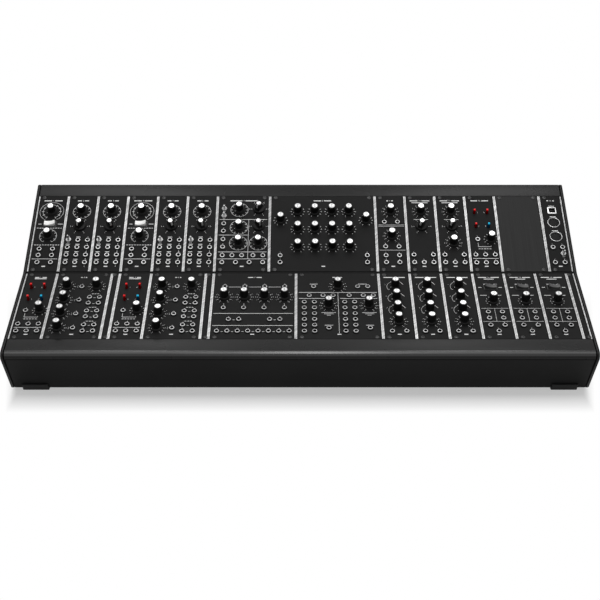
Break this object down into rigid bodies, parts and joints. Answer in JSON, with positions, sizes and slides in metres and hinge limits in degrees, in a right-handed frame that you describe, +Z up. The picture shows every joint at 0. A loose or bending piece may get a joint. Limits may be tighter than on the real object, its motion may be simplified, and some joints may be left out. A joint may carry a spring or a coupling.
{
  "type": "modular synthesizer",
  "caption": "Modular synthesizer: two sloping rows of rack modules with knobs, switches and patch sockets in a black desktop case with end cheeks.",
  "frame": {"origin": "on the table under the middle of the case", "axes": "+X to the player's right along the rows, +Y from the player's side to the back, +Z up"},
  "size_m": [0.721, 0.3142, 0.1845],
  "materials": {
    "case_sheet": "satin black powder coat",
    "case_extrusion": "satin black anodised, soft highlights",
    "case_cheek": "satin black end plate with a rounded edge",
    "rubber_foot": "matte black rubber",
    "supply_box": "brushed sheet metal box",
    "circuit_board": "green solder mask",
    "module_panel": "black anodised panel with bright edge strips and white print",
    "knob_black": "black moulded body with a spun aluminium cap",
    "bright_metal": "bright nickel plated",
    "red_lever": "glossy red",
    "blue_lever": "glossy blue",
    "white_rocker": "white moulded plastic",
    "dark_rocker": "dark moulded plastic"
  },
  "bodies": {
    "case": {"case_tub": "case_sheet", "front_rail": "case_extrusion", "middle_rail": "case_extrusion", "rear_rail": "case_extrusion", "left_cheek": "case_cheek", "right_cheek": "case_cheek", "power_supply": "supply_box", "bus_board": "circuit_board", "front_left_foot": "rubber_foot", "rear_left_foot": "rubber_foot", "front_right_foot": "rubber_foot", "rear_right_foot": "rubber_foot", "voltage_2_module": "module_panel", "mixer_1_module": "module_panel", "blank_narrow_1_panel": "module_panel", "voltage_3_module": "module_panel", "mixer_2_module": "module_panel", "blank_narrow_2_panel": "module_panel", "attenuator_module": "module_panel", "router_module": "module_panel", "envelope_1_module": "module_panel", "envelope_2_module": "module_panel", "envelope_3_module": "module_panel", "amplifier_1_module": "module_panel", "amplifier_2_module": "module_panel", "amplifier_3_module": "module_panel", "blank_narrow_3_panel": "module_panel", "driver_1_module": "module_panel", "oscillator_1_module": "module_panel", "oscillator_2_module": "module_panel", "driver_2_module": "module_panel", "oscillator_3_module": "module_panel", "oscillator_4_module": "module_panel", "modulation_module": "module_panel", "filter_bank_module": "module_panel", "filter_1_module": "module_panel", "filter_2_module": "module_panel", "filter_3_module": "module_panel", "voltage_1_module": "module_panel", "blank_wide_panel": "module_panel", "interface_module": "module_panel"},
    "mixer_1_knob": {"mixer_1_knob": "knob_black"},
    "attenuator_knob": {"attenuator_knob": "knob_black"},
    "router_knob": {"router_knob": "knob_black"},
    "envelope_1_knob": {"envelope_1_knob": "knob_black"},
    "amplifier_1_rocker": {"amplifier_1_rocker": "dark_rocker"},
    "amplifier_1_knob": {"amplifier_1_knob": "knob_black"},
    "driver_1_knob": {"driver_1_knob": "knob_black"},
    "driver_1_rocker": {"driver_1_rocker": "white_rocker"},
    "oscillator_1_knob": {"oscillator_1_knob": "knob_black"},
    "oscillator_1_selector": {"oscillator_1_selector": "knob_black"},
    "oscillator_1_toggle": {"oscillator_1_toggle": "bright_metal"},
    "modulation_knob": {"modulation_knob": "knob_black"},
    "modulation_selector": {"modulation_selector": "knob_black"},
    "filter_bank_knob": {"filter_bank_knob": "knob_black"},
    "filter_1_knob": {"filter_1_knob": "knob_black"},
    "filter_2_selector": {"filter_2_selector": "knob_black"},
    "filter_3_knob": {"filter_3_knob": "knob_black"},
    "voltage_1_red_lever": {"voltage_1_red_lever": "red_lever"},
    "voltage_1_blue_lever": {"voltage_1_blue_lever": "blue_lever"}
  },
  "joints": [
    {"name": "mixer_1_knob_turn", "type": "hinge", "parent": "case", "child": "mixer_1_knob", "pos_m": [-0.26045, -0.03362, 0.10159], "axis": [0, 0.2588, -0.9659], "range_deg": [-30, 270]},
    {"name": "attenuator_knob_turn", "type": "hinge", "parent": "case", "child": "attenuator_knob", "pos_m": [-0.09611, -0.05398, 0.09614], "axis": [0, 0.2588, -0.9659], "range_deg": [-30, 270]},
    {"name": "router_knob_turn", "type": "hinge", "parent": "case", "child": "router_knob", "pos_m": [0.04826, -0.03362, 0.10159], "axis": [0, 0.2588, -0.9659], "range_deg": [-30, 270]},
    {"name": "envelope_1_knob_turn", "type": "hinge", "parent": "case", "child": "envelope_1_knob", "pos_m": [0.12192, -0.03362, 0.10159], "axis": [0, 0.2588, -0.9659], "range_deg": [-30, 270]},
    {"name": "amplifier_1_rocker_tip", "type": "hinge", "parent": "case", "child": "amplifier_1_rocker", "pos_m": [0.24384, -0.03511, 0.10119], "axis": [0, 0.9659, 0.2588], "range_deg": [-16, 0]},
    {"name": "amplifier_1_knob_turn", "type": "hinge", "parent": "case", "child": "amplifier_1_knob", "pos_m": [0.24384, -0.06155, 0.09411], "axis": [0, 0.2588, -0.9659], "range_deg": [-30, 270]},
    {"name": "driver_1_knob_turn", "type": "hinge", "parent": "case", "child": "driver_1_knob", "pos_m": [-0.33528, 0.08305, 0.16081], "axis": [0, 0.5, -0.866], "range_deg": [-30, 270]},
    {"name": "driver_1_rocker_tip", "type": "hinge", "parent": "case", "child": "driver_1_rocker", "pos_m": [-0.33528, 0.06435, 0.15001], "axis": [0, 0.866, 0.5], "range_deg": [0, 16]},
    {"name": "oscillator_1_knob_turn", "type": "hinge", "parent": "case", "child": "oscillator_1_knob", "pos_m": [-0.29464, 0.08305, 0.16081], "axis": [0, 0.5, -0.866], "range_deg": [-30, 270]},
    {"name": "oscillator_1_selector_turn", "type": "hinge", "parent": "case", "child": "oscillator_1_selector", "pos_m": [-0.29464, 0.06101, 0.14809], "axis": [0, 0.5, -0.866], "range_deg": [0, 300]},
    {"name": "oscillator_1_toggle_throw", "type": "hinge", "parent": "case", "child": "oscillator_1_toggle", "pos_m": [-0.30734, 0.0417, 0.13578], "axis": [1, 0, 0], "range_deg": [-10, 10]},
    {"name": "modulation_knob_turn", "type": "hinge", "parent": "case", "child": "modulation_knob", "pos_m": [-0.08179, 0.05945, 0.14719], "axis": [0, 0.5, -0.866], "range_deg": [-30, 270]},
    {"name": "modulation_selector_turn", "type": "hinge", "parent": "case", "child": "modulation_selector", "pos_m": [-0.05537, 0.08705, 0.16312], "axis": [0, 0.5, -0.866], "range_deg": [0, 300]},
    {"name": "filter_bank_knob_turn", "type": "hinge", "parent": "case", "child": "filter_bank_knob", "pos_m": [-0.00305, 0.08305, 0.16081], "axis": [0, 0.5, -0.866], "range_deg": [-30, 270]},
    {"name": "filter_1_knob_turn", "type": "hinge", "parent": "case", "child": "filter_1_knob", "pos_m": [0.12192, 0.08305, 0.16081], "axis": [0, 0.5, -0.866], "range_deg": [-30, 270]},
    {"name": "filter_2_selector_turn", "type": "hinge", "parent": "case", "child": "filter_2_selector", "pos_m": [0.16256, 0.06101, 0.14809], "axis": [0, 0.5, -0.866], "range_deg": [0, 300]},
    {"name": "filter_3_knob_turn", "type": "hinge", "parent": "case", "child": "filter_3_knob", "pos_m": [0.2032, 0.03631, 0.13382], "axis": [0, 0.5, -0.866], "range_deg": [-30, 270]},
    {"name": "voltage_1_red_lever_throw", "type": "hinge", "parent": "case", "child": "voltage_1_red_lever", "pos_m": [0.23531, 0.08269, 0.15783], "axis": [1, 0, 0], "range_deg": [-12, 12]},
    {"name": "voltage_1_blue_lever_throw", "type": "hinge", "parent": "case", "child": "voltage_1_blue_lever", "pos_m": [0.25232, 0.0621, 0.14594], "axis": [1, 0, 0], "range_deg": [-12, 12]}
  ]
}
